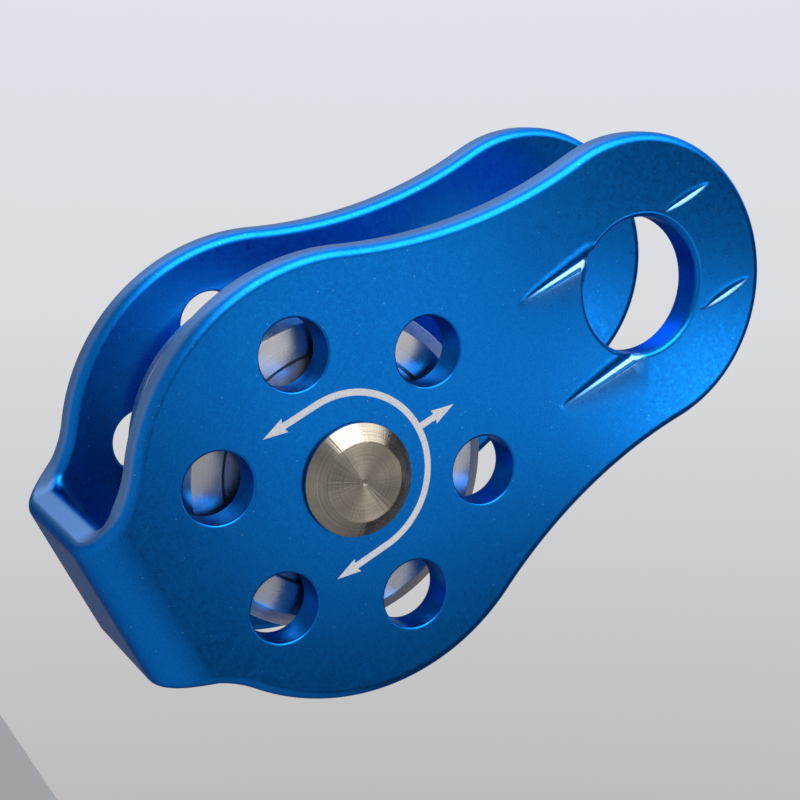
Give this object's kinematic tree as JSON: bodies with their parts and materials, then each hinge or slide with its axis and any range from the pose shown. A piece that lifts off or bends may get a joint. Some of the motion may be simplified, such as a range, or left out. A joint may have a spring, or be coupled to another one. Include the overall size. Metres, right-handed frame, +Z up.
{
  "type": "rope pulley",
  "caption": "Fixed-side rope pulley: bent U side frame with lightening holes and a carabiner eye, grooved sheave on sealed ball bearings, riveted axle.",
  "frame": {"origin": "centre of the carabiner eye, midway between the two plates", "axes": "+Z up out of the eye along the pulley's length, +Y along the axle and the eye towards the rear plate, +X across the width; the pulley hangs from the eye"},
  "size_m": [0.054, 0.0342, 0.095],
  "materials": {
    "anodised_frame": "satin blue anodised, bead blasted",
    "axle_steel": "turned stainless steel",
    "sheave_metal": "turned bare metal",
    "spacer_steel": "turned",
    "spring_steel": "dark phosphated",
    "bearing_steel": "ground",
    "ball_steel": "polished",
    "cage_metal": "pressed",
    "shield_metal": "pressed, zinc grey"
  },
  "bodies": {
    "frame_body": {"side_frame": "anodised_frame", "axle_pin": "axle_steel", "axle_collar": "axle_steel", "front_spacer_bush": "spacer_steel", "rear_spacer_bush": "spacer_steel", "race_spacer": "spacer_steel", "front_inner_race": "bearing_steel", "rear_inner_race": "bearing_steel"},
    "sheave_body": {"sheave": "sheave_metal", "front_outer_race": "bearing_steel", "rear_outer_race": "bearing_steel", "front_outer_shield": "shield_metal", "front_inner_shield": "shield_metal", "rear_outer_shield": "shield_metal", "rear_inner_shield": "shield_metal", "front_retaining_ring": "spring_steel", "rear_retaining_ring": "spring_steel"},
    "front_ball_set": {"front_balls": "ball_steel", "front_cage": "cage_metal"},
    "rear_ball_set": {"rear_balls": "ball_steel", "rear_cage": "cage_metal"}
  },
  "joints": [
    {"name": "sheave_spin", "type": "hinge", "parent": "frame_body", "child": "sheave_body", "pos_m": [0, 0, -0.0445], "axis": [0, 1, 0], "continuous": true},
    {"name": "front_balls_orbit", "type": "hinge", "parent": "frame_body", "child": "front_ball_set", "pos_m": [0, -0.00375, -0.0445], "axis": [0, 1, 0], "continuous": true},
    {"name": "rear_balls_orbit", "type": "hinge", "parent": "frame_body", "child": "rear_ball_set", "pos_m": [0, 0.00375, -0.0445], "axis": [0, 1, 0], "continuous": true}
  ],
  "couplings": [
    {"joint": "front_balls_orbit", "follows": "sheave_spin", "ratio": 0.5821},
    {"joint": "rear_balls_orbit", "follows": "sheave_spin", "ratio": 0.5821}
  ]
}
